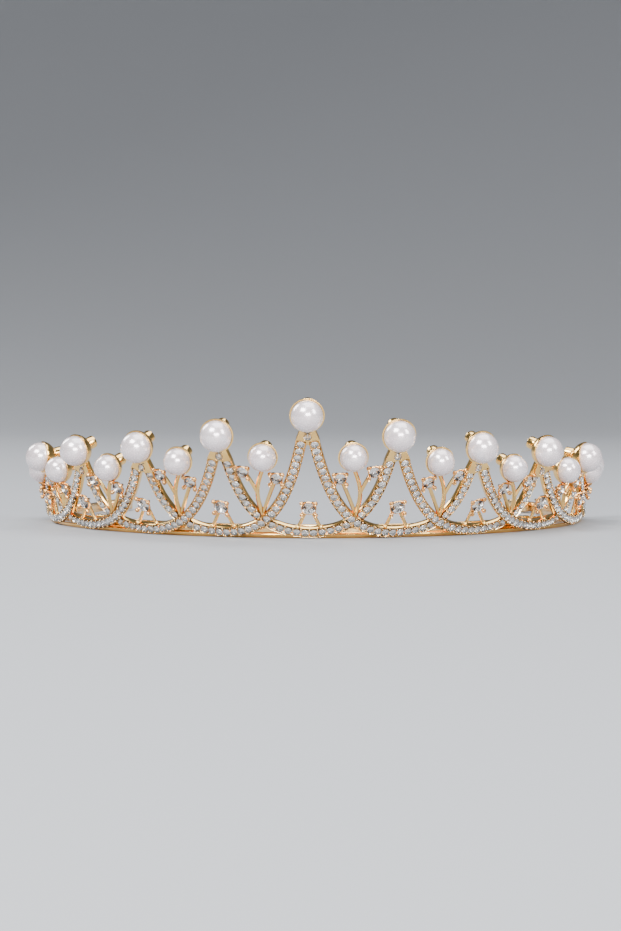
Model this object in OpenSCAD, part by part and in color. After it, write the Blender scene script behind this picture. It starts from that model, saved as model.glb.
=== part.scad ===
// Headband crown: an arched openwork casting set with pearls and cut stones, clipped to a plain strip
// headband. The base line lies flat on z = 0, the front faces -Y, and the casting leans forward.
// A place on the casting is given by s, the length along the base line from the middle of the front,
// h, the height along the lean, and n, the distance outwards along the face's normal.

/* [Base line] */
// Radius of the front of the base line, seen from above
front_radius = 84; // [80:0.5:88]
// Angle that the front arc turns through on each side of the middle
front_turn = 50; // [48:0.5:52]
// Radius of the base line at the sides
side_radius = 54; // [52:0.5:58]
// Angle by which the casting leans forward from upright
lean = 30; // [26:0.5:32]
// Distance between two tips, along the base line
tip_pitch = 22.7; // [22.5:0.05:22.9]

/* [Casting] */
// Width of the stone set ribbons
ribbon_width = 2.8; // [2.6:0.1:3]
// Thickness of the ribbons
ribbon_depth = 1.4; // [1.2:0.1:1.6]
// Height of a swag's middle line over the base line, at its lowest point
swag_low = 2; // [1.9:0.05:2.1]
// How strongly a swag's catenary curves
swag_curve = 3.8; // [3.4:0.1:4]
// How far a ribbon stands in front of or behind the other where two cross
weave = 0.4; // [0.2:0.05:0.45]
// Height of the base rail
rail_height = 1.1; // [0.9:0.1:1.3]
// Thickness of the base rail
rail_depth = 1; // [0.9:0.1:1.1]

/* [Pearls and stones] */
// Diameter of the pearls on the tips
tip_pearl = 8; // [7.8:0.1:8.2]
// Diameter of the pearls on the sprigs
sprig_pearl = 7; // [6.8:0.1:7.2]
// Diameter of the stones over the swags
base_stone = 3.6; // [3.4:0.1:3.8]
// Diameter of the stones on the sprigs
sprig_stone = 3; // [2.8:0.1:3.1]
// Clearance round a pearl in its cup and a stone in its setting
seat_gap = 0.1; // [0.06:0.01:0.14]

/* [Headband] */
// Width of the headband's strip
band_width = 3; // [2.8:0.1:3.2]
// Thickness of the headband's strip
band_depth = 1.2; // [1:0.1:1.3]
// Radius of the headband's front arc
band_front_radius = 80; // [79.5:0.5:80.5]
// Angle that the headband's front arc turns through on each side
band_front_turn = 47; // [46.5:0.5:47.5]
// Radius of the headband at the sides
band_side_radius = 42; // [41.5:0.5:42.5]
// Radius with which the headband's ends draw in
band_end_radius = 90; // [88:1:92]
// Angle that each drawn in end turns through
band_end_turn = 25; // [24:0.5:26]

/* [Hidden] */
sides = [-1, 1];
last_tip = 5;
last_stone = 4;
tips = [-last_tip:last_tip];
sprigs = [for (k = tips) if (k != 0) k];
base_stones = [-last_stone:last_stone];

// Height of each tip's pearl along the lean, from the middle tip outwards
tip_heights = [38.5, 32.5, 28.5, 26.5, 23, 18.5];
// Height of each sprig's pearl along the lean, from the front outwards
sprig_heights = [25.6, 24, 21.2, 19.4, 17.4];
// Height of each stone over a swag, from the middle outwards
base_heights = [10.1, 10.1, 9.8, 9.4, 8.6];

// Where the pearls and stones stand in front of the casting's middle surface
tip_pearl_out = 2.5;
sprig_pearl_out = 1.5;
base_stone_out = 1.3;
sprig_stone_out = 1.9;
// Where the two stones of a sprig lie from its pearl: sideways, away from the middle, and down
far_stone = [5.2, 4.2];
near_stone = [-3.4, 6.1];

tip_drop = 3.2;         // from a tip pearl's middle down to the ribbons' ends
stem_half = 0.6;        // from a tip's middle line to each ribbon's end
weave_rise = 0.5;       // share of half a swag in which the ribbon reaches its place in the weave
post_out = 0.15;        // how far an end post's foot stands out
swag_steps = 7;         // sections in half a swag
rail_steps = 36;        // sections in the base rail
post_foot_width = 1.6;  // an end post tapers to this width
rail_overhang = 1.3;    // from an end post's middle line to the end of the rail

stem_radius = 0.52;
branch_radius = 0.45;
stem_bow = 1.8;         // how far a sprig's stem bows away from the middle
stem_steps = 5;
rod_sides = 4;
leg_radius = 0.42;
leg_top = 0.5;          // sideways, from the middle to a V leg's top
leg_foot = 3.1;         // sideways, from the middle to a V leg's foot
leg_drop = 1;           // from a base stone's middle down to the top of its legs

cup_sides = 8;
cup_wall = 0.35;
cup_rim = 0.8;          // how far behind the pearl's middle the cup's rim lies
boss_radius = 1.7;
boss_length = 1.7;
boss_sides = 6;
octagon_side = tan(22.5);

stone_sides = 8;
table_share = 0.58;     // table's diameter as a share of the stone's
crown_height = 0.42;
girdle_height = 0.14;
pavilion_depth = 0.85;
culet_share = 0.25;
claw_radius = 0.42;
claw_head_radius = 0.6;
claw_share = 0.75;      // where a claw turns up behind the stone, as a share of the stone's radius
claw_rise = 0.35;       // how far a claw's head stands over the girdle

rest_gap = 0.1;         // between parts that rest on each other
clip_gap = 0.2;         // round the headband inside a clip
clip_sheet = 0.4;
tongue_height = 0.8;
tongue_gap = 0.2;       // from a clip's tongue to the rail
tongue_bite = 0.25;     // how far behind a clip's outer face its tongue starts
band_lift = clip_sheet + rest_gap;
band_set_back = rail_depth / 2 + rest_gap + band_depth / 2;
band_loop_radius = 1.75;
band_loop_length = 7.2;
band_curl_turn = 100;
arc_step = 3;           // angle between sections in the headband's long arcs
bend_step = 18;         // and in its end loops
// Name, place along the base line, length and width of tongue
clip_places = [["clip_front", 65, 3, 2], ["clip_end", 100.5, 4.2, 2.6]];

function side_of(s) = s < 0 ? -1 : 1;
function unit(v) = v / norm(v);
function degrees(arc, radius) = arc / radius * 180 / PI;
front_arc = front_radius * front_turn * PI / 180;
// Angle that the base line has turned through at s
function turned(s) = abs(s) <= front_arc
    ? degrees(abs(s), front_radius)
    : front_turn + degrees(abs(s) - front_arc, side_radius);
function base_at(s) = let (t = turned(s), a = min(t, front_turn)) [
    side_of(s) * (front_radius * sin(a) + side_radius * (sin(t) - sin(a))),
    front_radius * (1 - cos(a)) + side_radius * (cos(a) - cos(t)),
    0];
function along(s) = [cos(turned(s)), side_of(s) * sin(turned(s)), 0];
function plan_out(s) = [side_of(s) * sin(turned(s)), -cos(turned(s)), 0];
upright = [0, -sin(lean), cos(lean)];
function out(s) = unit(cross(along(s), upright));
function place(s, h, n) = base_at(s) + h * upright + n * out(s);

// Puts its children at a place on the casting, z along the face's normal and y along the lean
module at(s, h, n) {
    p = place(s, h, n);
    z = out(s);
    x = cross(upright, z);
    multmatrix([
        [x.x, upright.x, z.x, p.x],
        [x.y, upright.y, z.y, p.y],
        [x.z, upright.z, z.z, p.z],
        [0, 0, 0, 1]]) children();
}

// A closed solid through rings of points that run the same way round
module loft(rings) {
    n = len(rings[0]);
    last = (len(rings) - 1) * n;
    polyhedron(
        points = [for (ring = rings, p = ring) p],
        faces = concat(
            [[for (i = [n - 1:-1:0]) i]],
            [[for (i = [0:n - 1]) last + i]],
            [for (r = [0:len(rings) - 2], i = [0:n - 1], half = [0, 1])
                let (j = (i + 1) % n, a = r * n + i, b = r * n + j)
                half == 0 ? [a, b + n, a + n] : [a, b, b + n]]));
}

// A round bar through points, with a radius for each
function ring_round(p, way, radius, sides) = let (
        side = unit(cross(way, abs(way.z) > 0.9 * norm(way) ? [0, 1, 0] : [0, 0, 1])),
        rise = unit(cross(side, way)))
    [for (i = [0:sides - 1]) let (a = 360 * (i + 0.5) / sides)
        p + radius * (cos(a) * side + sin(a) * rise)];
module bar(points, radii, sides = rod_sides) {
    last = len(points) - 1;
    loft([for (i = [0:last])
        ring_round(points[i], points[min(i + 1, last)] - points[max(i - 1, 0)], radii[i], sides)]);
}

// A flat ribbon along places [s, h, n] on the casting, with a width for each
function ring_flat(spots, i, width) = let (
        spot = spots[i],
        p = place(spot[0], spot[1], spot[2]),
        after = spots[min(i + 1, len(spots) - 1)],
        before = spots[max(i - 1, 0)],
        way = place(after[0], after[1], after[2]) - place(before[0], before[1], before[2]),
        thick = out(spot[0]) * ribbon_depth / 2,
        wide = unit(cross(thick, way)) * width / 2)
    [p + wide + thick, p + wide - thick, p - wide - thick, p - wide + thick];
module ribbon(spots, widths) {
    loft([for (i = [0:len(spots) - 1]) ring_flat(spots, i, widths[i])]);
}

function cosh(x) = (exp(x) + exp(-x)) / 2;
function sag(t) = (cosh(swag_curve * t) - 1) / (cosh(swag_curve) - 1);
function tip_top(k) = tip_heights[abs(k)] - tip_drop;
// Place on swag k: t runs from -1 at the tip on one side, over 0 at the lowest point, to 1
function swag_spot(k, t) = let (
        to = k + sign(t),
        over = k != 0 && sign(t) == -sign(k) ? 1 : -1)
    [k * tip_pitch + t * (tip_pitch - stem_half),
     swag_low + (tip_top(t == 0 ? 0 : to) - swag_low) * sag(t),
     over * weave * sin(90 * min(1, abs(t) / weave_rise))];

module swag(k) {
    last = k == last_tip ? 0 : swag_steps;
    spots = [for (i = [-swag_steps:last]) swag_spot(k, sin(90 * i / swag_steps))];
    ribbon(spots, [for (spot = spots) ribbon_width]);
}

module end_post() {
    s = last_tip * tip_pitch + stem_half;
    ribbon([[s, tip_top(last_tip), weave], [s, swag_low + ribbon_width / 2, post_out],
            [s, rail_height / 2, post_out]],
        [ribbon_width, ribbon_width, post_foot_width]);
}

module rail() {
    end = last_tip * tip_pitch + stem_half + rail_overhang;
    half = rail_depth / 2;
    top = upright * rail_height / cos(lean);
    loft([for (i = [0:rail_steps]) let (
            s = end * (2 * i / rail_steps - 1), p = base_at(s), o = plan_out(s) * half)
        [p + o, p + o + top, p - o + top, p - o]]);
}

// Height where the two ribbons cross under sprig k
function crossing_height(k) = swag_spot(k, -side_of(k) * 0.51)[1];
function sprig_s(k) = side_of(k) * (abs(k) - 0.5) * tip_pitch;
function sprig_height(k) = sprig_heights[abs(k) - 1];
function stem_spot(k, u) = let (foot = crossing_height(k), top = sprig_height(k) - sprig_pearl / 2)
    [sprig_s(k) + side_of(k) * stem_bow * sin(180 * u), foot + (top - foot) * u, 0];
function stone_spot(k, way) = [sprig_s(k) + side_of(k) * way[0], sprig_height(k) - way[1],
    sprig_stone_out];
function on(spot) = place(spot[0], spot[1], spot[2]);
function blend(a, b, u) = a * (1 - u) + b * u;

module sprig(k) {
    bar([for (i = [0:stem_steps]) on(stem_spot(k, i / stem_steps))],
        [for (i = [0:stem_steps]) stem_radius]);
    for (branch = [[far_stone, 0.5, 0.75], [near_stone, 0.22, 0.5]]) {
        leaves = stem_spot(k, branch[1]);
        stone = stone_spot(k, branch[0]) - [0, 0, pavilion_depth + rest_gap + claw_radius];
        turn = [stone[0], stem_spot(k, branch[2])[1], 0] * 0.5
            + [leaves[0], stem_spot(k, branch[2])[1], 0] * 0.5;
        bar([for (u = [0, 0.5, 1]) on(blend(blend(leaves, turn, u), blend(turn, stone, u), u))],
            [for (u = [0:2]) branch_radius]);
        spot = stone_spot(k, branch[0]);
        at(spot[0], spot[1], spot[2]) setting(sprig_stone / 2);
    }
    at(sprig_s(k), sprig_height(k), sprig_pearl_out) cup(sprig_pearl / 2);
}

// Two crossed claws, four prongs in all, round a stone whose girdle lies on z = 0
module setting(r) {
    foot = [r * claw_share, 0, -pavilion_depth - rest_gap - claw_radius];
    head = [r + seat_gap + claw_head_radius, 0, claw_rise];
    for (a = [45, 135]) rotate(a) bar([head, foot, [-foot.x, 0, foot.z], [-head.x, 0, head.z]],
        [claw_head_radius, claw_radius, claw_radius, claw_head_radius], 4);
}

// Outside of a pearl's cup, and the boss behind it, round a pearl centred on the origin
module cup(r) {
    seat = (r + seat_gap) / cos(180 / cup_sides);
    wall = seat + cup_wall;
    rotate_extrude($fn = cup_sides) polygon([
        [0, -wall], [wall * octagon_side, -wall], [wall, -wall * octagon_side],
        [seat + cup_wall / 2, -cup_rim], [0, -cup_rim]]);
    translate([0, 0, -wall - boss_length + rest_gap])
        cylinder(h = boss_length, r = boss_radius, $fn = boss_sides);
}

// The hollow that a pearl sits in
module seat(r) {
    q = (r + seat_gap) / cos(180 / cup_sides);
    rotate_extrude($fn = cup_sides) polygon([
        [0, -q], [q * octagon_side, -q], [q, -q * octagon_side], [q, q], [0, q]]);
}

module leg_end() {
    rotate([90, 0, 0]) cylinder(h = leg_radius / 4, r = leg_radius, $fn = rod_sides);
}

module v_legs(k) {
    s = k * tip_pitch;
    top = base_heights[abs(k)] - leg_drop;
    for (side = sides) {
        foot = swag_spot(k, side * leg_foot / tip_pitch);
        hull() {
            at(s + side * leg_top, top, 0) leg_end();
            at(foot[0], foot[1] + ribbon_width / 3, 0) leg_end();
        }
    }
    at(s, base_heights[abs(k)], base_stone_out) setting(base_stone / 2);
}

module tip_cup(k) {
    at(k * tip_pitch, tip_heights[abs(k)], tip_pearl_out) cup(tip_pearl / 2);
}

// All of the casting that stands to the right of the middle tip
module right_half() {
    for (k = [1:last_tip]) {
        swag(k);
        tip_cup(k);
        sprig(k);
    }
    for (k = [1:last_stone]) v_legs(k);
    end_post();
}

module crown_frame() {
    color([0.93, 0.74, 0.42]) difference() {
        union() {
            rail();
            swag(0);
            tip_cup(0);
            v_legs(0);
            right_half();
            mirror([1, 0, 0]) right_half();
        }
        for (k = tips) at(k * tip_pitch, tip_heights[abs(k)], tip_pearl_out) seat(tip_pearl / 2);
        for (k = sprigs) at(sprig_s(k), sprig_height(k), sprig_pearl_out) seat(sprig_pearl / 2);
    }
}

// Points of a route that starts along +X and turns left through legs [radius, angle], or runs
// straight through [0, length], with the heading at each
function route(legs, p = [0, 0], heading = 0) = len(legs) == 0 ? [[p, heading]] : let (
        radius = legs[0][0],
        step = legs[0][1],
        rest = len(legs) > 1 ? [for (i = [1:len(legs) - 1]) legs[i]] : [],
        parts = ceil(step / (radius > band_loop_radius ? arc_step : bend_step)),
        centre = p + radius * [-sin(heading), cos(heading)],
        end = radius == 0 ? heading : heading + step,
        stops = radius == 0
            ? [[p, heading]]
            : [for (i = [0:parts - 1]) let (a = heading + step * i / parts)
                [centre + radius * [sin(a), -cos(a)], a]],
        next = radius == 0
            ? p + step * [cos(heading), sin(heading)]
            : centre + radius * [sin(end), -cos(end)])
    concat(stops, route(rest, next, end));

module headband() {
    half_route = route([
        [band_front_radius, band_front_turn],
        [band_side_radius, 90 - band_front_turn],
        [band_end_radius, band_end_turn],
        [band_loop_radius, 180],
        [0, band_loop_length],
        [band_loop_radius, band_curl_turn]]);
    function edge(shift) = [for (stop = half_route)
        stop[0] + shift * [-sin(stop[1]), cos(stop[1])] + [0, band_set_back]];
    inner = edge(band_depth / 2);
    outer = edge(-band_depth / 2);
    last = len(inner) - 1;
    color([0.86, 0.7, 0.42]) translate([0, 0, band_lift]) linear_extrude(band_width) polygon(concat(
        [for (p = outer) p],
        [for (i = [last:-1:0]) inner[i]],
        [for (i = [1:last]) [-inner[i].x, inner[i].y]],
        [for (i = [last:-1:1]) [-outer[i].x, outer[i].y]]));
}

// Middle [x, y] and radius of the arc of the headband that lies inside the base line at s
function band_arc(s) = let (
        a = band_front_turn,
        shift = turned(s) < a ? 0 : band_front_radius - band_side_radius)
    [side_of(s) * shift * sin(a), band_set_back + band_front_radius - shift * cos(a),
        band_front_radius - shift];
// Distance from the base line at s straight in to the middle of the headband
function band_gap(s) = let (
        arc = band_arc(s),
        d = base_at(s) - [arc.x, arc.y, 0],
        b = d * plan_out(s))
    b - sqrt(b * b - d * d + arc.z * arc.z);

// Puts its children at p, with x along way and z up
module facing(p, way) {
    multmatrix([[way.x, -way.y, 0, p.x], [way.y, way.x, 0, p.y], [0, 0, 1, 0], [0, 0, 0, 1]])
        children();
}

// A folded clip round the headband, with a tongue out to the rail
module clip(spec, side) {
    s = side * spec[1];
    middle = base_at(s) - band_gap(s) * plan_out(s);
    arc = band_arc(s);
    half = band_depth / 2 + clip_gap;
    facing(middle, unit(middle - [arc.x, arc.y, 0])) difference() {
        translate([-half - clip_sheet, -spec[2] / 2, 0])
            cube([2 * (half + clip_sheet), spec[2], band_lift + band_width + rest_gap + clip_sheet]);
        translate([-half, -spec[2], clip_sheet])
            cube([2 * half, 2 * spec[2], band_width + 2 * rest_gap]);
    }
    start = half + clip_sheet - tongue_bite;
    facing(middle, plan_out(s)) translate([start, -spec[3] / 2, 0])
        cube([band_gap(s) - start - rail_depth / 2 - tongue_gap, spec[3], tongue_height]);
}

// A round cut stone: table, eight crown facets, girdle, eight pavilion facets and culet
module cut_stone(r) {
    loft([for (level = [[table_share, crown_height], [1, girdle_height / 2],
            [1, -girdle_height / 2], [culet_share, -pavilion_depth]])
        [for (i = [0:stone_sides - 1]) let (a = 360 * (i + 0.5) / stone_sides)
            [r * level[0] * cos(a), r * level[0] * sin(a), level[1]]]]);
}

module tip_pearl(k) {
    color([0.96, 0.93, 0.92]) at(k * tip_pitch, tip_heights[abs(k)], tip_pearl_out)
        sphere(d = tip_pearl, $fn = 48);
}

module sprig_pearl(k) {
    color([0.96, 0.93, 0.92]) at(sprig_s(k), sprig_height(k), sprig_pearl_out)
        sphere(d = sprig_pearl, $fn = 48);
}

module base_stone(k) {
    color([0.9, 0.93, 0.96]) at(k * tip_pitch, base_heights[abs(k)], base_stone_out)
        cut_stone(base_stone / 2);
}

module sprig_stones(side) {
    color([0.9, 0.93, 0.96]) for (k = sprigs, way = [far_stone, near_stone]) if (side_of(k) == side) {
        spot = stone_spot(k, way);
        at(spot[0], spot[1], spot[2]) cut_stone(sprig_stone / 2);
    }
}

function side_name(side) = side < 0 ? "left" : "right";
function place_name(k) = k == 0 ? "middle" : str(side_name(k), "_", abs(k));
function tip_pearl_name(k) = str("pearl_tip_", place_name(k));
function sprig_pearl_name(k) = str("pearl_sprig_", place_name(k));
function base_stone_name(k) = str("base_stone_", place_name(k));
function clip_name(spec, side) = str(spec[0], "_", side_name(side));
function sprig_stones_name(side) = str("sprig_stones_", side_name(side));

headband();
crown_frame();
for (spec = clip_places, side = sides)
    color([0.95, 0.78, 0.4]) clip(spec, side);
for (k = tips)
    tip_pearl(k);
for (k = sprigs)
    sprig_pearl(k);
for (k = base_stones)
    base_stone(k);
for (side = sides)
    sprig_stones(side);
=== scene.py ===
import math

import bpy
import numpy as np
from mathutils import Matrix, Vector


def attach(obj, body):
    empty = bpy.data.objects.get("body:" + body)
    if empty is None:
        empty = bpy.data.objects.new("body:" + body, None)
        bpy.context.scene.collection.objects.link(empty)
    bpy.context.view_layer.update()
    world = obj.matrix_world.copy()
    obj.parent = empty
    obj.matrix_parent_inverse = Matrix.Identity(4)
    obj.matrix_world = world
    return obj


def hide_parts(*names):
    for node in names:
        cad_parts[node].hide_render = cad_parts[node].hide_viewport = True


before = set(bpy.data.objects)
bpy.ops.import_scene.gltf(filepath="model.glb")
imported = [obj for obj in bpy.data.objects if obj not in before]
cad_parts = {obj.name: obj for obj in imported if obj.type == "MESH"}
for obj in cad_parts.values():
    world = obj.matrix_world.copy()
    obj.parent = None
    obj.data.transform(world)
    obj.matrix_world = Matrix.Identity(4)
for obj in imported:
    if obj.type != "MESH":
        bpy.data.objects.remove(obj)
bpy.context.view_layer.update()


# Headband: one flat strip of springy steel, bent to a horseshoe with each end folded in to a
# narrow loop, then gold plated and polished bright all over. Like every piece of the crown it is
# modelled in millimetres, and brought to metres when it is finished.
band_width, band_depth = 3, 1.2
band_corner = 0.32   # rounding of the strip's long edges
band_cut = 0.12      # rounding of its cut ends
band_lift = 0.5      # height of its lower edge above what the crown rests on
band_back = 1.2      # how far its middle lies behind the base line
band_bends = [       # radius, angle in degrees and sections of each arc
    (80, 47, 32), (42, 43, 18), (90, 25, 12), (1.75, 180, 16)]
band_loop = 7.2      # straight run back from the folded end
band_curl = (1.75, 100, 10)


def deselect():
    if bpy.context.object and bpy.context.object.mode == "EDIT":
        bpy.ops.object.mode_set(mode="OBJECT")
    bpy.ops.object.select_all(action="DESELECT")


def pick(piece):
    deselect()
    piece.select_set(True)
    bpy.context.view_layer.objects.active = piece


def edit(piece, select="SELECT", kind="FACE"):
    pick(piece)
    bpy.ops.object.mode_set(mode="EDIT")
    bpy.ops.mesh.select_mode(type=kind)
    bpy.ops.mesh.select_all(action=select)


def choose(piece, wanted):
    """Selects the faces for which wanted(face) holds, and leaves the piece in edit mode."""
    edit(piece, "DESELECT")
    bpy.ops.object.mode_set(mode="OBJECT")
    for face in piece.data.polygons:
        face.select = bool(wanted(face))
    bpy.ops.object.mode_set(mode="EDIT")


def settle(piece):
    """Puts a piece's place, turn and size into its mesh."""
    pick(piece)
    bpy.ops.object.transform_apply(location=True, rotation=True, scale=True)
    return piece


def modify(piece, kind, **settings):
    pick(piece)
    modifier = piece.modifiers.new(kind.title(), kind)
    for key, value in settings.items():
        setattr(modifier, key, value)
    bpy.ops.object.modifier_apply(modifier=modifier.name)


def close_up(piece):
    """Merges doubles and turns all faces outwards."""
    edit(piece)
    bpy.ops.mesh.remove_doubles(threshold=0.002)
    bpy.ops.mesh.normals_make_consistent(inside=False)
    deselect()


def join(name, pieces):
    deselect()
    for piece in pieces:
        piece.select_set(True)
    bpy.context.view_layer.objects.active = pieces[0]
    if len(pieces) > 1:
        bpy.ops.object.join()
    pieces[0].name = pieces[0].data.name = name
    return pieces[0]


def dress(piece, material, slot, *nodes, smooth=35):
    """Brings a finished piece to metres, and gives it its material and its place in the frame."""
    piece.scale = (0.001, 0.001, 0.001)
    settle(piece)
    if smooth:
        bpy.ops.object.shade_smooth_by_angle(angle=math.radians(smooth))
    else:
        bpy.ops.object.shade_flat()
    if material:
        piece.data.materials.clear()
        piece.data.materials.append(material)
    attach(piece, "root")
    if nodes:
        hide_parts(*nodes)


def material_of(name):
    material = bpy.data.materials.new(name)
    material.use_nodes = True
    return material, material.node_tree, material.node_tree.nodes["Principled BSDF"]


def noise(tree, waves, detail=3.0):
    """Soft noise through the piece's own space, with the given waves in each metre."""
    where = tree.nodes.new("ShaderNodeTexCoord")
    texture = tree.nodes.new("ShaderNodeTexNoise")
    texture.inputs["Scale"].default_value = waves
    texture.inputs["Detail"].default_value = detail
    tree.links.new(where.outputs["Object"], texture.inputs["Vector"])
    return texture.outputs["Fac"]


def ramp(tree, value, stops):
    """Turns a value into the colours or greys of the stops, each (position, colour)."""
    node = tree.nodes.new("ShaderNodeValToRGB")
    bands = node.color_ramp.elements
    while len(bands) < len(stops):
        bands.new(0.5)
    for band, (position, colour) in zip(bands, stops):
        band.position = position
        band.color = (*colour, 1) if isinstance(colour, tuple) else (colour, colour, colour, 1)
    tree.links.new(value, node.inputs["Fac"])
    return node.outputs["Color"]


def bump(tree, shader, height, distance):
    node = tree.nodes.new("ShaderNodeBump")
    node.inputs["Distance"].default_value = distance
    tree.links.new(height, node.inputs["Height"])
    tree.links.new(node.outputs["Normal"], shader.inputs["Normal"])


def gold(name, pale, painted_shade, roughness, waves, relief, shade_reach=0.0022):
    """Gold plate with painted shade: pale where it lies open, darker and redder in the recesses, with a
    fine uneven polish.
    """
    material, tree, shader = material_of(name)
    shader.inputs["Metallic"].default_value = 1.0
    open_sky = tree.nodes.new("ShaderNodeAmbientOcclusion")
    open_sky.samples = 4
    open_sky.inputs["Distance"].default_value = shade_reach
    between = tuple((p + d) / 2 for p, d in zip(pale, painted_shade))
    # Painted shade: the ambient occlusion mixes the colour towards the darker, redder shade colour in
    # recesses and between parts.
    mix = tree.nodes.new("ShaderNodeMix")
    mix.data_type = "RGBA"
    tree.links.new(ramp(tree, open_sky.outputs["AO"], [(0.2, 0.0), (0.8, 1.0)]), mix.inputs["Factor"])
    mix.inputs["A"].default_value = (*painted_shade, 1)
    tree.links.new(ramp(tree, noise(tree, 240), [(0.4, pale), (0.85, between)]), mix.inputs["B"])
    tree.links.new(mix.outputs["Result"], shader.inputs["Base Color"])
    tree.links.new(ramp(tree, noise(tree, 1100), [(0.3, roughness), (0.75, roughness + 0.07)]),
                   shader.inputs["Roughness"])
    bump(tree, shader, noise(tree, waves), relief)
    return material


deselect()
bpy.ops.mesh.primitive_plane_add(size=1, rotation=(0, math.pi / 2, 0),
                                 location=(0, band_back, band_lift + band_width / 2))
strip = bpy.context.object
strip.scale = (band_width, band_depth, 1)
settle(strip)
edit(strip, kind="VERT")
bpy.ops.mesh.bevel(offset=band_corner, segments=3, affect="VERTICES")
bpy.ops.mesh.delete(type="ONLY_FACE")
bpy.ops.mesh.select_all(action="SELECT")
spot, heading = Vector((0, band_back, 0)), 0.0


def bend(radius, degrees, sections):
    """Carries the strip's end round an arc to the left."""
    global spot, heading
    centre = spot + radius * Vector((-math.sin(heading), math.cos(heading), 0))
    bpy.ops.mesh.spin(steps=sections, angle=-math.radians(degrees), center=centre, axis=(0, 0, 1))
    heading += math.radians(degrees)
    spot = centre + radius * Vector((math.sin(heading), -math.cos(heading), 0))


for radius, degrees, sections in band_bends:
    bend(radius, degrees, sections)
run = band_loop * Vector((math.cos(heading), math.sin(heading), 0))
bpy.ops.mesh.extrude_region_move(TRANSFORM_OT_translate={"value": run})
spot += run
bend(*band_curl)
bpy.ops.mesh.edge_face_add()
modify(strip, "MIRROR", use_axis=(True, False, False), merge_threshold=0.01)
close_up(strip)
modify(strip, "BEVEL", width=band_cut, segments=2, angle_limit=math.radians(60))
strip.name = "headband_strip"
# The second colour is the painted shade that the gold takes in recesses.
dress(strip, gold("polished_gold_plate", (0.96, 0.68, 0.34), (0.60, 0.32, 0.10), 0.12, 700, 0.000008),
      "gold_strip", "headband")


# Base rail: the plain lower bar of the casting, bent to the base line. The same metal carries
# the swags, so everything below lies on its coordinates: s along the base line from the middle
# of the front, h up the lean, n outwards from the face.
front_radius, front_turn = 84, math.radians(50)
side_radius = 54
lean = math.radians(30)
tip_pitch = 22.7
last_tip = 5                          # tips are counted from 0 in the middle, negative to the left
rail_height, rail_depth, rail_overhang = 1.1, 1.0, 1.3
rail_half_stops, rail_sections, rail_round = 90, 120, 0.28
stem_half = 0.6                       # how far from a tip's middle the ribbons below it end
upright = Vector((0, -math.sin(lean), math.cos(lean)))


def turned(s):
    """Angle that the base line has turned through at s."""
    front_arc = front_radius * front_turn
    if abs(s) <= front_arc:
        return abs(s) / front_radius
    return front_turn + (abs(s) - front_arc) / side_radius


def base_at(s):
    """Point of the base line at s."""
    t = turned(s)
    a = min(t, front_turn)
    return Vector((
        math.copysign(1, s) * (front_radius * math.sin(a) + side_radius * (math.sin(t) - math.sin(a))),
        front_radius * (1 - math.cos(a)) + side_radius * (math.cos(a) - math.cos(t)), 0))


def plan_out(s):
    """Level direction outwards from the base line."""
    return Vector((math.copysign(1, s) * math.sin(turned(s)), -math.cos(turned(s)), 0))


def along(s):
    """Level direction along the base line, to the right."""
    return Vector((math.cos(turned(s)), math.copysign(1, s) * math.sin(turned(s)), 0))


def out(s):
    """Direction outwards from the casting's leaning face."""
    return along(s).cross(upright).normalized()


def place(s, h, n=0.0):
    return base_at(s) + h * upright + n * out(s)


def facing(s, h, n=0.0):
    """Matrix that puts a piece at a place on the casting, its z along the face's normal."""
    z = out(s)
    turn = Matrix((upright.cross(z), upright, z)).transposed()
    return Matrix.Translation(place(s, h, n)) @ turn.to_4x4()


def trace(points, outs):
    """A route through points: its lengths, middles, ways across and ways out."""
    points, outs = np.array(points), np.array(outs)
    across = np.cross(outs, np.gradient(points, axis=0))
    across /= np.linalg.norm(across, axis=1)[:, None]
    steps = np.linalg.norm(np.diff(points, axis=0), axis=1)
    return np.concatenate([[0], np.cumsum(steps)]), points, across, outs


def on_route(route, runs):
    """Middles, ways across and ways out at the given runs along a route."""
    return [np.stack([np.interp(runs, route[0], column) for column in part.T], -1) for part in route[1:]]


def lay(piece, route, width_at=None):
    """Bends a straight piece that lies along X on to a route, y across it and z out of it."""
    co = np.empty(len(piece.data.vertices) * 3)
    piece.data.vertices.foreach_get("co", co)
    co = co.reshape(-1, 3)
    middle, across, outward = on_route(route, co[:, 0])
    wide = co[:, 1] * (1 if width_at is None else width_at(co[:, 0]))
    co = middle + across * wide[:, None] + outward * co[:, 2:]
    piece.data.vertices.foreach_set("co", co.ravel())
    piece.data.update()


def straight(length, sections, width, depth):
    """A straight flat bar along X from 0, closed, with its front face still selected."""
    deselect()
    bpy.ops.mesh.primitive_grid_add(x_subdivisions=sections, y_subdivisions=1, size=1,
                                    location=(length / 2, 0, -depth / 2))
    bar = bpy.context.object
    bar.scale = (length, width, 1)
    settle(bar)
    edit(bar)
    bpy.ops.mesh.extrude_region_move(TRANSFORM_OT_translate={"value": (0, 0, depth)})
    return bar


rail_end = last_tip * tip_pitch + stem_half + rail_overhang
rail_stops = [rail_end * i / rail_half_stops for i in range(-rail_half_stops, rail_half_stops + 1)]
rise = upright / math.cos(lean)
runs, middles, _, outwards = trace([base_at(s) + rise * rail_height / 2 for s in rail_stops],
                                   [plan_out(s) for s in rail_stops])
rail_route = runs, middles, np.tile(rise, (len(rail_stops), 1)), outwards
rail = straight(runs[-1], rail_sections, rail_height, rail_depth)
close_up(rail)
modify(rail, "BEVEL", width=rail_round, segments=3, angle_limit=math.radians(60))
lay(rail, rail_route)
# The second colour is the painted shade that the gold takes in recesses.
casting_gold = gold("cast_gold_plate", (1.0, 0.655, 0.225), (0.64, 0.32, 0.08), 0.13, 900, 0.000005,
                    0.0014)
rail.name = "casting_rail"
dress(rail, casting_gold, "gold_casting", "crown_frame")


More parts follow.
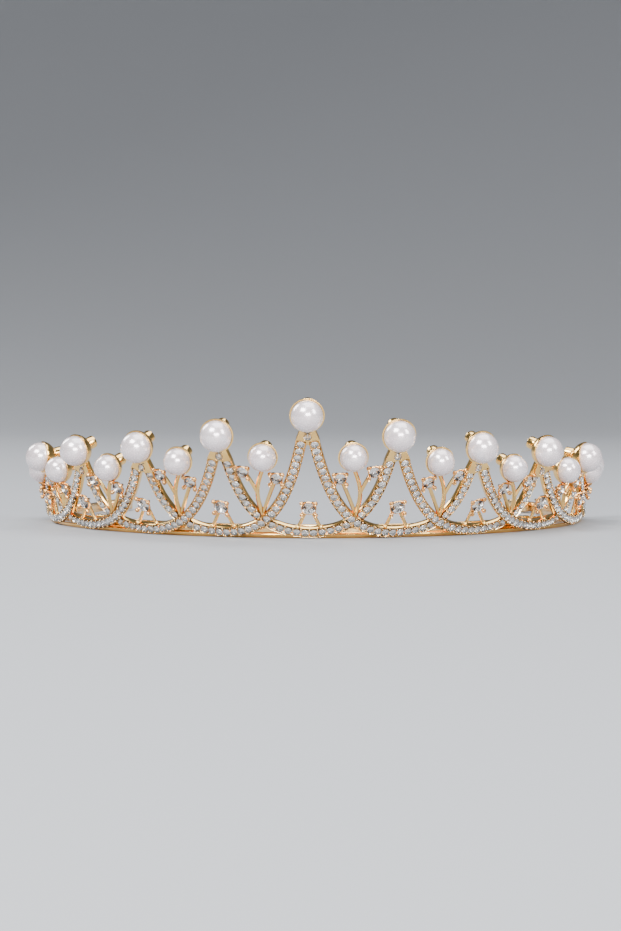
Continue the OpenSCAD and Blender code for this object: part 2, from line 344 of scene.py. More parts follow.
# Swag ribbons: eleven flat bands that hang between the tips and pass over and under each other
# half way along. Each is cast with a sunk channel along its front, between two raised borders, in
# which the row of stones is set. The two end posts close the casting at its ends.
ribbon_width, ribbon_depth = 2.8, 1.4
border, channel_depth, channel_round = 0.32, 0.55, 0.1
swag_low, swag_curve = 2.0, 3.8   # height of a swag's lowest point, and how strongly it curves
weave = 0.4           # how far a ribbon swings to the front or back where it crosses another
tip_heights = [38.5, 32.5, 28.5, 26.5, 23, 18.5]   # of the tips' pearls
tip_drop = 3.2        # from a pearl's middle down to where the ribbons' middle lines would end
tip_end = 0.6         # the ribbons end this far below that
tip_narrow = 0.5      # share of its width that a ribbon keeps at its end
plate_depths = [4.3, 4.2, 4.1, 3.9, 3.6, 3.2]   # how far the ribbons run together below each tip
post_out, post_foot = 0.15, 1.6   # how far a post stands out from the face, and its width at the foot
post_taper = 0.7      # share of its length at which a post begins to narrow to its foot
half_swag_stops, post_stops = 90, 40
swag_sections, post_sections = 64, 30


def tip_top(k):
    """Height at which the ribbons' middle lines would end under tip k."""
    return tip_heights[abs(k)] - tip_drop


def swag_spot(k, t):
    """Place (s, h, n) on swag k, with t from -1 at one tip, over 0 at the bottom, to 1.

    It passes in front of the next swag towards the middle, and behind the one further out.
    """
    sag = (math.cosh(swag_curve * t) - 1) / (math.cosh(swag_curve) - 1)
    top = tip_top(k + (1 if t > 0 else -1)) if t else swag_low
    over = 1 if k and t * k < 0 else -1
    return (k * tip_pitch + t * (tip_pitch - stem_half), swag_low + (top - swag_low) * sag,
            over * weave * math.sin(math.pi * abs(t)))


def swag_spots(k):
    """Places along swag k, without those past the ribbons' ends at its tips."""
    first, last = (-1 if k > -last_tip else 0), (1 if k < last_tip else 0)
    stops = [math.sin(math.pi / 2 * i / half_swag_stops)
             for i in range(first * half_swag_stops, last * half_swag_stops + 1)]
    spots = [swag_spot(k, t) for t in stops]
    return [spot for spot in spots
            if not (abs(spot[0] - k * tip_pitch) > tip_pitch / 2
                    and spot[1] > tip_top(round(spot[0] / tip_pitch)) - tip_end)]


def route_of(spots):
    return trace([place(*spot) for spot in spots], [out(spot[0]) for spot in spots])


def mark(piece, wanted):
    """Marks the faces that get a piece's second finish, those for which wanted(face) holds."""
    marks = piece.data.attributes.new("second", "INT", "FACE")
    marks.data.foreach_set("value", [int(wanted(face)) for face in piece.data.polygons])


def two_finishes(piece, first, second):
    """Gives a piece its first finish, and its marked faces the second."""
    piece.data.materials.clear()
    piece.data.materials.append(first)
    piece.data.materials.append(second)
    marks = np.zeros(len(piece.data.polygons), np.int32)
    piece.data.attributes["second"].data.foreach_get("value", marks)
    piece.data.polygons.foreach_set("material_index", marks)


def channelled(name, route, sections, width_at):
    """A ribbon with its channel, laid on a route, its back and sides marked."""
    ribbon = straight(route[0][-1], sections, ribbon_width, ribbon_depth)
    bpy.ops.mesh.inset(thickness=border, use_boundary=True)
    bpy.ops.transform.translate(value=(0, 0, -channel_depth))
    close_up(ribbon)
    modify(ribbon, "BEVEL", width=channel_round, segments=2, angle_limit=math.radians(50))
    mark(ribbon, lambda face: face.center.z < -ribbon_depth / 4
         or abs(face.center.y) > ribbon_width / 2 - 0.05 and abs(face.normal.y) > 0.9)
    lay(ribbon, route, width_at)
    ribbon.name = name
    return ribbon


def place_name(k):
    return "middle" if k == 0 else f"{'left' if k < 0 else 'right'}_{abs(k)}"


tips = range(-last_tip, last_tip + 1)
all_spots = {k: swag_spots(k) for k in tips}
routes = {k: route_of(all_spots[k]) for k in tips}
ribbons = []
for k in tips:
    length = routes[k][0][-1]
    stops, widths = [0, length], [1, 1]
    if k > -last_tip:
        stops[:1], widths[:1] = [0, plate_depths[abs(k - 1)]], [tip_narrow, 1]
    if k < last_tip:
        stops[-1:], widths[-1:] = [length - plate_depths[abs(k + 1)], length], [1, tip_narrow]
    ribbons.append(channelled(f"swag_{place_name(k)}", routes[k], swag_sections,
                              lambda x: np.interp(x, stops, widths)))
for side in (-1, 1):
    s = side * (last_tip * tip_pitch + stem_half)
    foot, top = rail_height / 2, tip_top(last_tip) - tip_end
    route = route_of([(s, foot + (top - foot) * (post_stops - i) / post_stops, post_out)
                      for i in range(post_stops + 1)])
    routes[f"post {side}"] = route
    length = route[0][-1]
    stops = [0, plate_depths[-1], post_taper * length, length]
    widths = [tip_narrow, 1, 1, post_foot / ribbon_width]
    ribbons.append(channelled(f"post_{side}", route, post_sections,
                              lambda x: np.interp(x, stops, widths)))
swags = join("casting_swags", ribbons)
# The second colour is the painted shade that the gold takes in recesses.
ribbon_gold = gold("pale_gold_plate", (1.0, 0.80, 0.47), (0.80, 0.49, 0.20), 0.12, 700, 0.000004, 0.001)
two_finishes(swags, ribbon_gold, casting_gold)
dress(swags, None, "gold_casting", "crown_frame")


# Tip plates: under each large pearl the two ribbons are cast into one plain tapered plate, which
# carries two stones in a column and closes the crotch between the ribbons with a web.
plate_front, plate_depth = 0.86, 1.5
plate_top = 1.2      # half its width under the pearl
plate_rise = 0.1     # how far its top reaches above the ribbons' ends
plate_shares = 0.15, 0.4, 0.7, 1   # of its depth, at which its sides follow the ribbons' edges
plate_lap = 0.05     # how far the plate laps over the ribbons' outer edges
plate_step = 0.15    # how far below the meeting of the ribbons its lower edge begins
plate_inset = 0.1    # how far inside the ribbon's border, and as far further down, that is
plate_tail = 1.3     # how far it runs out to a point on the ribbons' outer borders
plate_round = 0.14
web_gap = 0.75       # width between the ribbons where the web ends
web_search = 9, 0.05   # how far down the ribbons that place is looked for, and in what steps
web_half = 0.3       # least half width of the web at its top
web_arch = 0.3
web_lap = 0.15, 0.1  # how far the web laps on to the ribbons, at its top and at its foot
column_first, column_pitch = 1.25, 2.05
column_seat, seat_depth = 1.03, 0.6   # radius and depth of the seats drilled for the stones
drill_length = 1
neck_radius = 0.55
edge_step = 0.3      # run over which a ribbon's direction is taken
neck_spots = (4.6, 0), (3.8, -0.7), (3.0, -1.4)   # below the pearl's middle, and outwards


def edges_of(spots, k, run):
    """Outer and inner edge of a ribbon at a run from its end at tip k, as (aside, height)."""
    near = np.array(spots if abs(spots[0][0] - k * tip_pitch) < tip_pitch / 2 else spots[::-1])
    runs = route_of(near.tolist())[0]
    s, h = (np.interp([run, run + edge_step], runs, near[:, i]) for i in (0, 1))
    aside, drop = abs(s[1] - s[0]), abs(h[1] - h[0])
    half = ribbon_width / 2 * np.interp(run, [0, plate_depths[abs(k)]], [tip_narrow, 1])
    x, y, step = abs(s[0] - k * tip_pitch), h[0] - tip_top(k), math.hypot(aside, drop)
    return ((x + (half + plate_lap) * drop / step, y + (half + plate_lap) * aside / step),
            (x - half * drop / step, y - half * aside / step))


def post_edges(run, depth):
    """The same of an end post, whose plate is depth deep."""
    half = ribbon_width / 2 * np.interp(run, [0, depth], [tip_narrow, 1])
    return ((stem_half + half + plate_lap, -tip_end - run), (stem_half - half, -tip_end - run))


def rod(spots, radii):
    """A round rod through spots, with its radius at each."""
    deselect()
    bpy.ops.curve.primitive_nurbs_path_add()
    wire = bpy.context.object
    wire.name = "rod"
    wire.data.splines.clear()
    spline = wire.data.splines.new("POLY")
    spline.points.add(len(spots) - 1)
    for point, spot, radius in zip(spline.points, spots, radii):
        point.co = (*spot, 1)
        point.radius = radius
    wire.data.bevel_depth = 1
    wire.data.bevel_resolution = 2
    wire.data.use_fill_caps = True
    bpy.ops.object.convert(target="MESH")
    return settle(bpy.context.object)


plates = []
column_stones = []   # places of the plates' stones
for k in tips:
    depth = plate_depths[abs(k)]
    inner = k - 1 if k > 0 else k + 1

    def flank(run, post):
        return post_edges(run, depth) if post else edges_of(all_spots[inner], k, run)

    def gap_at(run):
        return flank(run, k == last_tip)[1][0] + flank(run, k == -last_tip)[1][0]

    crotch = next(run for run in np.arange(depth, *web_search) if gap_at(run) > web_gap)
    flanks = []
    for post in (k == last_tip, k == -last_tip):
        outer = [flank(depth * share, post)[0] for share in plate_shares]
        tail = flank(depth + plate_tail, post)[0]
        under, under_in = flank(depth + plate_step, post)
        flanks.append((outer + [tail, (under[0] - border - plate_inset, under[1] - plate_inset)],
                       under_in, flank(crotch, post)[1]))
    (right, right_in, right_low), (left, left_in, left_low) = flanks
    middle = (right_in[0] - left_in[0]) / 2
    half_gap = max((right_in[0] + left_in[0]) / 2, web_half)
    low = (right_low[1] + left_low[1]) / 2
    outline = [(plate_top, plate_rise - tip_end)] + right
    outline += [(middle + half_gap + web_lap[0], right_in[1]), (right_low[0] + web_lap[1], low),
                ((right_low[0] - left_low[0]) / 2, low + web_arch), (-left_low[0] - web_lap[1], low),
                (middle - half_gap - web_lap[0], left_in[1])]
    outline += [(-x, y) for x, y in left[::-1]] + [(-plate_top, plate_rise - tip_end)]
    deselect()
    bpy.ops.mesh.primitive_circle_add(vertices=len(outline), fill_type="NGON",
                                      location=(0, 0, plate_front - plate_depth))
    plate = settle(bpy.context.object)
    for vertex, (x, y) in zip(plate.data.vertices, outline):
        vertex.co.x, vertex.co.y = x, y
    edit(plate)
    bpy.ops.mesh.extrude_region_move(TRANSFORM_OT_translate={"value": (0, 0, plate_depth)})
    close_up(plate)
    modify(plate, "BEVEL", width=plate_round, segments=3, angle_limit=math.radians(50))
    for i in range(2):
        deselect()
        bpy.ops.mesh.primitive_cylinder_add(
            vertices=24, radius=column_seat, depth=drill_length,
            location=(0, -tip_end - column_first - column_pitch * i,
                      plate_front + drill_length / 2 - seat_depth))
        drill = settle(bpy.context.object)
        modify(plate, "BOOLEAN", object=drill, operation="DIFFERENCE", solver="EXACT")
        bpy.data.objects.remove(drill)
    plate.matrix_world = facing(k * tip_pitch, tip_top(k))
    settle(plate)
    neck = rod([place(k * tip_pitch, tip_heights[abs(k)] - drop, n)
                for drop, n in neck_spots], [neck_radius] * len(neck_spots))
    plates += [plate, neck]
    column_stones += [(k * tip_pitch, tip_top(k) - tip_end - column_first - column_pitch * i)
                      for i in range(2)]
plates = join("casting_tip_plates", plates)
dress(plates, casting_gold, "gold_casting", "crown_frame")


# Row stones: about three hundred small clear rhinestones, side by side in the channels, each
# pushed down on its girdle and held by two beads of metal raised at every gap.
row_stone = 2.02
row_pitch = 2.08
row_level = ribbon_depth / 2 + 0.04   # of the girdles, out from the ribbon's middle
row_margin, post_margin = 0.25, 0.3   # left free at the ends of a row, and at the foot of a post
row_spare = 0.35                      # share of a pitch that a row rather spreads than adds a stone
crossing_clear = 2.45                 # from a crossing's middle to the lower ribbon's next stone
crossing_share = 0.75                 # the crossings lie below this share of a swag's tip
column_level = 0.02                   # of the girdles of the plates' stones, out from the plate
bead_radius, bead_cut = 0.21, 0.1     # a bead is cut off this far below its middle
bead_aside = 1.0                      # from the ribbon's middle line
column_bead = 0.8, 1.0                # aside of and below each of the plates' stones
set_tilt = math.radians(4)
setting_seed, row_seed = 7, 3         # of how the small stones are set, and of their facets' painted sparkle
setting_draw = np.random.default_rng(setting_seed)


def gem(name, diameter, rings):
    """A cut stone on its girdle, through rings of corners (count, share of radius, height, turn)."""
    deselect()
    loops = []
    for count, share, height, turn in rings:
        bpy.ops.mesh.primitive_circle_add(vertices=count, radius=diameter / 2 * share,
                                          location=(0, 0, height), rotation=(0, 0, math.radians(turn)))
        loops.append(bpy.context.object)
    stone = settle(join(name, loops))
    edit(stone)
    bpy.ops.mesh.convex_hull(join_triangles=True, face_threshold=math.radians(1),
                             shape_threshold=math.radians(1))
    bpy.ops.mesh.dissolve_limited(angle_limit=math.radians(1))
    deselect()
    mark(stone, lambda face: face.normal.z < -0.2)
    return stone


def copies(piece, places):
    """One copy of a piece, with its own mesh, at each place; the first model is removed."""
    made = []
    for matrix in places:
        copy = piece.copy()
        copy.data = piece.data.copy()
        copy.data.transform(matrix)
        bpy.context.scene.collection.objects.link(copy)
        made.append(copy)
    bpy.data.objects.remove(piece)
    return made


def paint_facet_sparkle(piece, seed):
    """Gives each facet a random value, from which the foil paints sparkle: a brighter or darker facet
    stands in for the light it would catch.
    """
    draw = np.random.default_rng(seed)
    facets = piece.data.attributes.new("facet", "FLOAT", "FACE")
    facets.data.foreach_set("value", draw.random(len(piece.data.polygons)))


def frame_at(route, run, aside, level):
    """Matrix at a run along a route, its y across the ribbon and its z outwards."""
    middle, across, outward = (Vector(row[0]) for row in on_route(route, np.array([run])))
    z = outward.normalized()
    y = (across - across.dot(z) * z).normalized()
    turn = Matrix((y.cross(z), y, z)).transposed()
    return Matrix.Translation(middle + aside * y + level * z) @ turn.to_4x4()


def crossing_runs(k):
    """Runs along swag k at which it passes behind a neighbour."""
    found = []
    for other in (k - 1, k + 1):
        if other in all_spots:
            mine = np.array(all_spots[k])[:, :2]
            theirs = np.array(all_spots[other])[:, :2]
            apart = np.linalg.norm(mine[:, None] - theirs[None], axis=2)
            apart[mine[:, 1] > tip_top(k) * crossing_share] = np.inf
            i, j = np.unravel_index(apart.argmin(), apart.shape)
            if all_spots[k][i][2] < all_spots[other][j][2]:
                found.append(routes[k][0][i])
    return found


def askew():
    """The small turn and tilt with which a stone happens to be set by hand."""
    turn, tilt_x, tilt_y = setting_draw.uniform((0, -1, -1), (math.pi / 4, 1, 1)) * (1, set_tilt, set_tilt)
    return Matrix.Rotation(turn, 4, "Z") @ Matrix.Rotation(tilt_x, 4, "X") @ Matrix.Rotation(tilt_y, 4, "Y")


stone_places, bead_places = [], []
for key, route in routes.items():
    length = route[0][-1]
    if isinstance(key, int):
        start = 0 if key == -last_tip else plate_depths[abs(key - 1)]
        end = 0 if key == last_tip else plate_depths[abs(key + 1)]
        hidden = crossing_runs(key)
    else:
        start, end, hidden = plate_depths[-1], post_margin, []
    first, last = start + row_stone / 2 + row_margin, length - end - row_stone / 2 - row_margin
    stops = [first]
    for crossing in sorted(hidden):
        stops += [crossing - crossing_clear, crossing + crossing_clear]
    stops.append(last)
    for first, last in zip(stops[::2], stops[1::2]):
        count = max(0, round((last - first) / row_pitch - row_spare)) + 1
        pitch = (last - first) / max(1, count - 1)
        for i in range(count if last > first else 0):
            run = first + pitch * i
            stone_places.append(frame_at(route, run, 0, row_level) @ askew())
            if i < count - 1:
                bead_places += [frame_at(route, run + pitch / 2, side * bead_aside, ribbon_depth / 2)
                                for side in (-1, 1)]
for s, h in column_stones:
    stone_places.append(facing(s, h, plate_front + column_level) @ askew())
    bead_places += [facing(s + side * column_bead[0], h - column_bead[1], plate_front) for side in (-1, 1)]
row_cut = [(8, 0.58, 0.36, 0), (8, 0.86, 0.22, 22.5), (8, 1, 0.03, 0), (8, 0.98, -0.03, 0),
           (8, 0.2, -0.52, 22.5)]
row_stones = join("row_stones", copies(gem("row_stone", row_stone, row_cut), stone_places))
paint_facet_sparkle(row_stones, row_seed)
deselect()
bpy.ops.mesh.primitive_uv_sphere_add(segments=8, ring_count=4, radius=bead_radius)
bead = settle(bpy.context.object)
edit(bead)
bpy.ops.mesh.bisect(plane_co=(0, 0, -bead_cut), plane_no=(0, 0, 1), clear_inner=True, use_fill=True)
deselect()
beads = join("casting_beads", copies(bead, bead_places))
dress(beads, ribbon_gold, "gold_casting", "crown_frame", smooth=60)


def cut_glass(name, clearness):
    """Cut crystal glass, with the share of light that it lets through."""
    material, _, shader = material_of(name)
    shader.inputs["Base Color"].default_value = (0.97, 0.97, 0.97, 1)
    shader.inputs["Transmission Weight"].default_value = clearness
    shader.inputs["Roughness"].default_value = 0.02
    shader.inputs["IOR"].default_value = 1.6
    return material


def silver_foil(name, dark, bright):
    """Silver foil on a stone's back facets, with painted sparkle: each facet's colour is set lighter or
    darker at random, standing in for the light it catches.
    """
    material, tree, shader = material_of(name)
    # Painted sparkle: each facet's random value picks a darker or brighter foil colour.
    facet = tree.nodes.new("ShaderNodeAttribute")
    facet.attribute_name = "facet"
    lighter = tuple(0.3 * d + 0.7 * b for d, b in zip(dark, bright))
    tree.links.new(ramp(tree, facet.outputs["Fac"], [(0.0, dark), (0.35, lighter), (0.8, bright)]),
                   shader.inputs["Base Color"])
    shader.inputs["Metallic"].default_value = 1.0
    shader.inputs["Roughness"].default_value = 0.07
    return material


clear_glass = cut_glass("clear_cut_glass", 1.0)
small_glass = cut_glass("small_cut_glass", 0.93)
foil = silver_foil("silver_foil_back", (0.70, 0.69, 0.67), (1.0, 0.99, 0.97))
two_finishes(row_stones, small_glass, foil)
dress(row_stones, None, "rhinestone", smooth=0)


# Pearl cups: a shallow spun cup behind each pearl, brazed to the casting, with the round boss at
# its back in which the pearl's peg is riveted.
tip_pearl, sprig_pearl = 8.0, 7.0
sprig_heights = [25.6, 24, 21.2, 19.4, 17.4]
tip_pearl_out, sprig_pearl_out = 2.5, 1.5
seat_gap, cup_wall = 0.1, 0.35
cup_rim = 0.7                 # how far the cup's rim lies behind the pearl's middle
rim_tilt = math.radians(15)   # towards the pearl's top it lies further back
boss_radius, boss_length = 1.7, 1.6
boss_lap = 0.4                # how far the boss reaches into the cup
cup_round, boss_round = 0.1, 0.25
boss_rim, boss_dip = 0.75, 0.35   # width of the rim left round its sunk end, and how far that is sunk
sprigs = [k for k in tips if k]


def sprig_s(k):
    """Where sprig k stands: half way between tip k and the next one towards the middle."""
    return math.copysign(1, k) * (abs(k) - 0.5) * tip_pitch


tip_places = {k: facing(k * tip_pitch, tip_heights[abs(k)], tip_pearl_out) for k in tips}
sprig_places = {k: facing(sprig_s(k), sprig_heights[abs(k) - 1], sprig_pearl_out) for k in sprigs}


def pearl_cup(pearl):
    outer = pearl / 2 + seat_gap + cup_wall
    deselect()
    bpy.ops.mesh.primitive_uv_sphere_add(segments=32, ring_count=20, radius=outer)
    cup = settle(bpy.context.object)
    edit(cup)
    bpy.ops.mesh.bisect(plane_co=(0, 0, -cup_rim), clear_outer=True,
                        plane_no=(0, math.sin(rim_tilt), math.cos(rim_tilt)))
    modify(cup, "SOLIDIFY", thickness=cup_wall, offset=-1)
    modify(cup, "BEVEL", width=cup_round, segments=2, angle_limit=math.radians(50))
    back = (pearl / 2 + seat_gap) / math.cos(math.pi / 8) + cup_wall + boss_length
    bpy.ops.mesh.primitive_cylinder_add(vertices=24, radius=boss_radius, depth=back - outer + boss_lap,
                                        location=(0, 0, -(back + outer - boss_lap) / 2))
    boss = settle(bpy.context.object)
    choose(boss, lambda face: face.normal.z < -0.9)
    bpy.ops.mesh.inset(thickness=boss_rim)
    bpy.ops.mesh.extrude_region_move(TRANSFORM_OT_translate={"value": (0, 0, boss_dip)})
    deselect()
    modify(boss, "BEVEL", width=boss_round, segments=3, angle_limit=math.radians(50))
    return join("cup", [cup, boss])


cups = copies(pearl_cup(tip_pearl), tip_places.values())
cups += copies(pearl_cup(sprig_pearl), sprig_places.values())
dress(join("casting_pearl_cups", cups), casting_gold, "gold_casting", "crown_frame")


# Sprigs: between every two tips a round cast stem rises from the crossing of the ribbons to the
# smaller pearl, and two thinner branches leave it, each to a stone.
stem_foot_radius, stem_radius, branch_radius = 0.66, 0.56, 0.52
stem_bow = 1.8
stem_start = 0.51        # where on the swag the stem rises, as a share of the way to the tip
stem_stops = 12
far_stone, near_stone = (5.2, 4.2), (-3.4, 6.1)   # away from the middle and down from the pearl
branches = (far_stone, 0.5, 0.75), (near_stone, 0.1, 0.5)   # where on the stem each leaves and turns
branch_end = 0.5         # how far below its stone's point a branch ends
sprig_stone, sprig_stone_out = 3.0, 1.9
pavilion_depth = 0.85    # from a stone's girdle down to its point


def stem_spot(k, u):
    """Place on the stem of sprig k, with u from 0 at its foot to 1 under its pearl."""
    foot, top = swag_spot(k, -math.copysign(stem_start, k))[1], sprig_heights[abs(k) - 1] - sprig_pearl / 2
    return (sprig_s(k) + math.copysign(stem_bow, k) * math.sin(math.pi * u), foot + (top - foot) * u, 0)


def stone_spot(k, way):
    """Place of the stone of sprig k that lies a given way from its pearl."""
    return (sprig_s(k) + math.copysign(1, k) * way[0], sprig_heights[abs(k) - 1] - way[1],
            sprig_stone_out)


rods = []
for k in sprigs:
    shares = [i / stem_stops for i in range(stem_stops + 1)]
    rods.append(rod([place(*stem_spot(k, u)) for u in shares],
                    [stem_foot_radius + (stem_radius - stem_foot_radius) * min(1, 2 * u) for u in shares]))
    for way, leaves_at, turns_at in branches:
        leaves, stone = stem_spot(k, leaves_at), stone_spot(k, way)
        end = (stone[0], stone[1], stone[2] - pavilion_depth - branch_end)
        turn = ((leaves[0] + stone[0]) / 2, stem_spot(k, turns_at)[1], 0)
        branch = [tuple((1 - u) ** 2 * a + 2 * u * (1 - u) * b + u * u * c
                        for a, b, c in zip(leaves, turn, end)) for u in shares]
        rods.append(rod([place(*spot) for spot in branch], [branch_radius] * len(branch)))
dress(join("casting_sprigs", rods), casting_gold, "gold_casting", "crown_frame")


# V legs: over each whole swag two round legs stand on the ribbon's upper edge and meet under a
# stone. Their feet are fixed with small blobs of solder.
base_heights = [10.1, 10.1, 9.8, 9.4, 8.6]
base_stone, base_stone_out = 3.6, 1.3
leg_radius = 0.44
leg_top, leg_foot = 0.5, 3.1   # how far a leg stands from the middle at its top and its foot
leg_drop = 1.0                 # from the stone's middle down to the top of the legs
blob_radius, blob_out = 0.62, 0.1
base_stones = range(1 - last_tip, last_tip)
legs = []
for k in base_stones:
    s, top = k * tip_pitch, base_heights[abs(k)] - leg_drop
    for side in (-1, 1):
        foot_s, foot_h, _ = swag_spot(k, side * leg_foot / tip_pitch)
        foot = place(foot_s, foot_h + ribbon_width / 3, 0)
        legs.append(rod([place(s + side * leg_top, top, 0), foot], [leg_radius] * 2))
        deselect()
        bpy.ops.mesh.primitive_uv_sphere_add(segments=12, ring_count=8, radius=blob_radius,
                                             location=place(foot_s, foot_h + ribbon_width / 2, blob_out))
        legs.append(settle(bpy.context.object))
dress(join("casting_legs", legs), casting_gold, "gold_casting", "crown_frame", smooth=60)


# Settings: four round claws with ball heads rise from a crossed foot round each larger stone, and
# two wire rings carry its girdle and its pavilion.
claw_radius, claw_head = 0.4, 0.6
claw_rise = 0.35      # of the heads above the girdle
claw_share = 0.75     # share of the stone's radius at which the claws turn up
turn_share = 0.8      # share of that at which the turn begins
turn_out, turn_up = 0.15, 0.25      # how far past it and how high the turn ends
claw_short, claw_swell = 0.1, 1.1   # how far inside its head's middle a claw ends, and its swelling there
dint_share, dint_depth = 0.8, 0.2   # share of its radius at which the dint in a head begins, and its depth
dint_floor = (0.6, 0.6, 0.2)        # size of the dint's floor against its mouth
wire_radius = 0.2
girdle_wire = 0.02, -0.24           # how far outside the girdle the upper ring's middle lies, and its level
pavilion_wire = 0.72                # share of the stone's radius at the lower ring


def setting(diameter):
    """The setting of a stone whose girdle lies on z = 0."""
    r = diameter / 2
    foot, head = r * claw_share, r + seat_gap + claw_head
    base = -pavilion_depth - seat_gap - claw_radius
    deselect()
    pieces = []
    for radius, level in ((r + girdle_wire[0], girdle_wire[1]), (r * pavilion_wire, -pavilion_depth)):
        bpy.ops.mesh.primitive_torus_add(major_radius=radius, minor_radius=wire_radius, major_segments=24,
                                         minor_segments=8, location=(0, 0, level))
        pieces.append(settle(bpy.context.object))
    for quarter in range(4):
        turn = Matrix.Rotation(math.radians(45 + 90 * quarter), 3, "Z")
        claw = ((0, 0, base), (foot * turn_share, 0, base), (foot + turn_out, 0, base + turn_up),
                (head - claw_short, 0, claw_rise))
        pieces.append(rod([turn @ Vector(spot) for spot in claw],
                          [claw_radius] * 3 + [claw_radius * claw_swell]))
        deselect()
        bpy.ops.mesh.primitive_uv_sphere_add(segments=12, ring_count=8, radius=claw_head)
        ball = settle(bpy.context.object)
        choose(ball, lambda face: face.center.z > claw_head * dint_share)
        bpy.ops.mesh.extrude_region_move(TRANSFORM_OT_translate={"value": (0, 0, -dint_depth)})
        bpy.ops.transform.resize(value=dint_floor)
        deselect()
        ball.location = turn @ Vector((head, 0, claw_rise))
        pieces.append(settle(ball))
    return join("setting", pieces)


base_places = {k: facing(k * tip_pitch, base_heights[abs(k)], base_stone_out) for k in base_stones}
stone_frames = {side: [facing(*stone_spot(k, way)) for k in sprigs if k * side > 0
                       for way in (far_stone, near_stone)] for side in (-1, 1)}
settings = copies(setting(base_stone), base_places.values())
settings += copies(setting(sprig_stone), stone_frames[-1] + stone_frames[1])
# The second colour is the painted shade that the gold takes in recesses.
claw_gold = gold("red_gold_plate", (0.94, 0.53, 0.20), (0.46, 0.17, 0.03), 0.16, 900, 0.00001)
dress(join("casting_settings", settings), claw_gold, "gold_casting", "crown_frame", smooth=50)


# Cut stones: clear foiled rhinestones with a table and two rows of crown facets, one over each
# whole swag and two on each sprig, held by the claws.
brilliant = [(8, 0.58, 0.42, 0), (8, 0.84, 0.26, 22.5), (16, 1, 0.07, 11.25), (16, 1, -0.07, 11.25),
             (8, 0.6, -0.45, 22.5), (8, 0.2, -0.85, 22.5)]
base_seed, sprig_seed = 20, 40
for k, where in base_places.items():
    stone = copies(gem("gem", base_stone, brilliant), [where])[0]
    stone.name = f"base_gem_{place_name(k)}"
    paint_facet_sparkle(stone, base_seed + k)
    two_finishes(stone, clear_glass, foil)
    dress(stone, None, "rhinestone", f"base_stone_{place_name(k)}", smooth=0)
for side, side_name in ((-1, "left"), (1, "right")):
    stones = join(f"sprig_gems_{side_name}", copies(gem("gem", sprig_stone, brilliant), stone_frames[side]))
    paint_facet_sparkle(stones, sprig_seed + side)
    two_finishes(stones, clear_glass, foil)
    dress(stones, None, "rhinestone", f"sprig_stones_{side_name}", smooth=0)


# Pearls: pressed glass beads dipped in many coats of pearl lacquer, each with its drilled hole
# turned to the back, where it sits on the peg in its cup.
pearl_hole = 0.985, 0.3   # share of the radius at which it begins, and of the diameter that is its depth


def pearl(name, diameter, where, node):
    deselect()
    bpy.ops.mesh.primitive_uv_sphere_add(segments=48, ring_count=28, radius=diameter / 2)
    ball = settle(bpy.context.object)
    choose(ball, lambda face: face.center.z < -diameter / 2 * pearl_hole[0])
    bpy.ops.mesh.extrude_region_move(TRANSFORM_OT_translate={"value": (0, 0, diameter * pearl_hole[1])})
    deselect()
    ball.matrix_world = where
    settle(ball)
    ball.name = name
    dress(ball, pearl_lacquer, "pearl", node, smooth=50)


pearl_lacquer, tree, shader = material_of("pearl_lacquer")
tree.links.new(ramp(tree, noise(tree, 300, 2), [
    (0.3, (0.64, 0.54, 0.56)), (0.55, (0.71, 0.63, 0.64)), (0.8, (0.62, 0.59, 0.64))]),
    shader.inputs["Base Color"])
tree.links.new(ramp(tree, noise(tree, 2600), [(0.3, 0.22), (0.8, 0.32)]), shader.inputs["Roughness"])
shader.inputs["Metallic"].default_value = 0.35
shader.inputs["Coat Weight"].default_value = 1.0
shader.inputs["Coat Roughness"].default_value = 0.1
shader.inputs["Coat IOR"].default_value = 1.8
shader.inputs["Sheen Weight"].default_value = 0.3
shader.inputs["Sheen Roughness"].default_value = 0.3
shader.inputs["Sheen Tint"].default_value = (1.0, 0.86, 0.86, 1)
bump(tree, shader, noise(tree, 1500, 2), 0.000004)
for k, where in tip_places.items():
    pearl(f"tip_bead_{place_name(k)}", tip_pearl, where, f"pearl_tip_{place_name(k)}")
for k, where in sprig_places.items():
    pearl(f"sprig_bead_{place_name(k)}", sprig_pearl, where, f"pearl_sprig_{place_name(k)}")


# Clips: a strip of thin plated sheet is folded round the headband and closed at the back, and its
# tongue is soldered to the rail of the casting.
clip_gap, clip_sheet = 0.2, 0.4      # space left round the headband, and thickness of the sheet
clip_headroom = 0.1                  # space above the headband, more than below it
clip_corner, clip_edge = 0.4, 0.08
tongue_height, tongue_bite = 0.8, 0.25   # the tongue reaches this far into the fold
tongue_lap, tongue_round = 0.1, 0.18
clip_places = [("clip_front", 65, 3, 2), ("clip_end", 100.5, 4.2, 2.6)]   # s, length, tongue's width
# The second colour is the painted shade that the gold takes in recesses.
clip_gold = gold("bright_gold_plate", (1.0, 0.70, 0.24), (0.7, 0.35, 0.07), 0.16, 700, 0.000008)


def band_arc(s):
    """Centre and radius of the headband's arc inside the base line at s."""
    (front, turn, _), (side, _, _) = band_bends[:2]
    turn = math.radians(turn)
    shift = 0 if turned(s) < turn else front - side
    centre = Vector((math.copysign(1, s) * shift * math.sin(turn),
                     band_back + front - shift * math.cos(turn), 0))
    return centre, front - shift


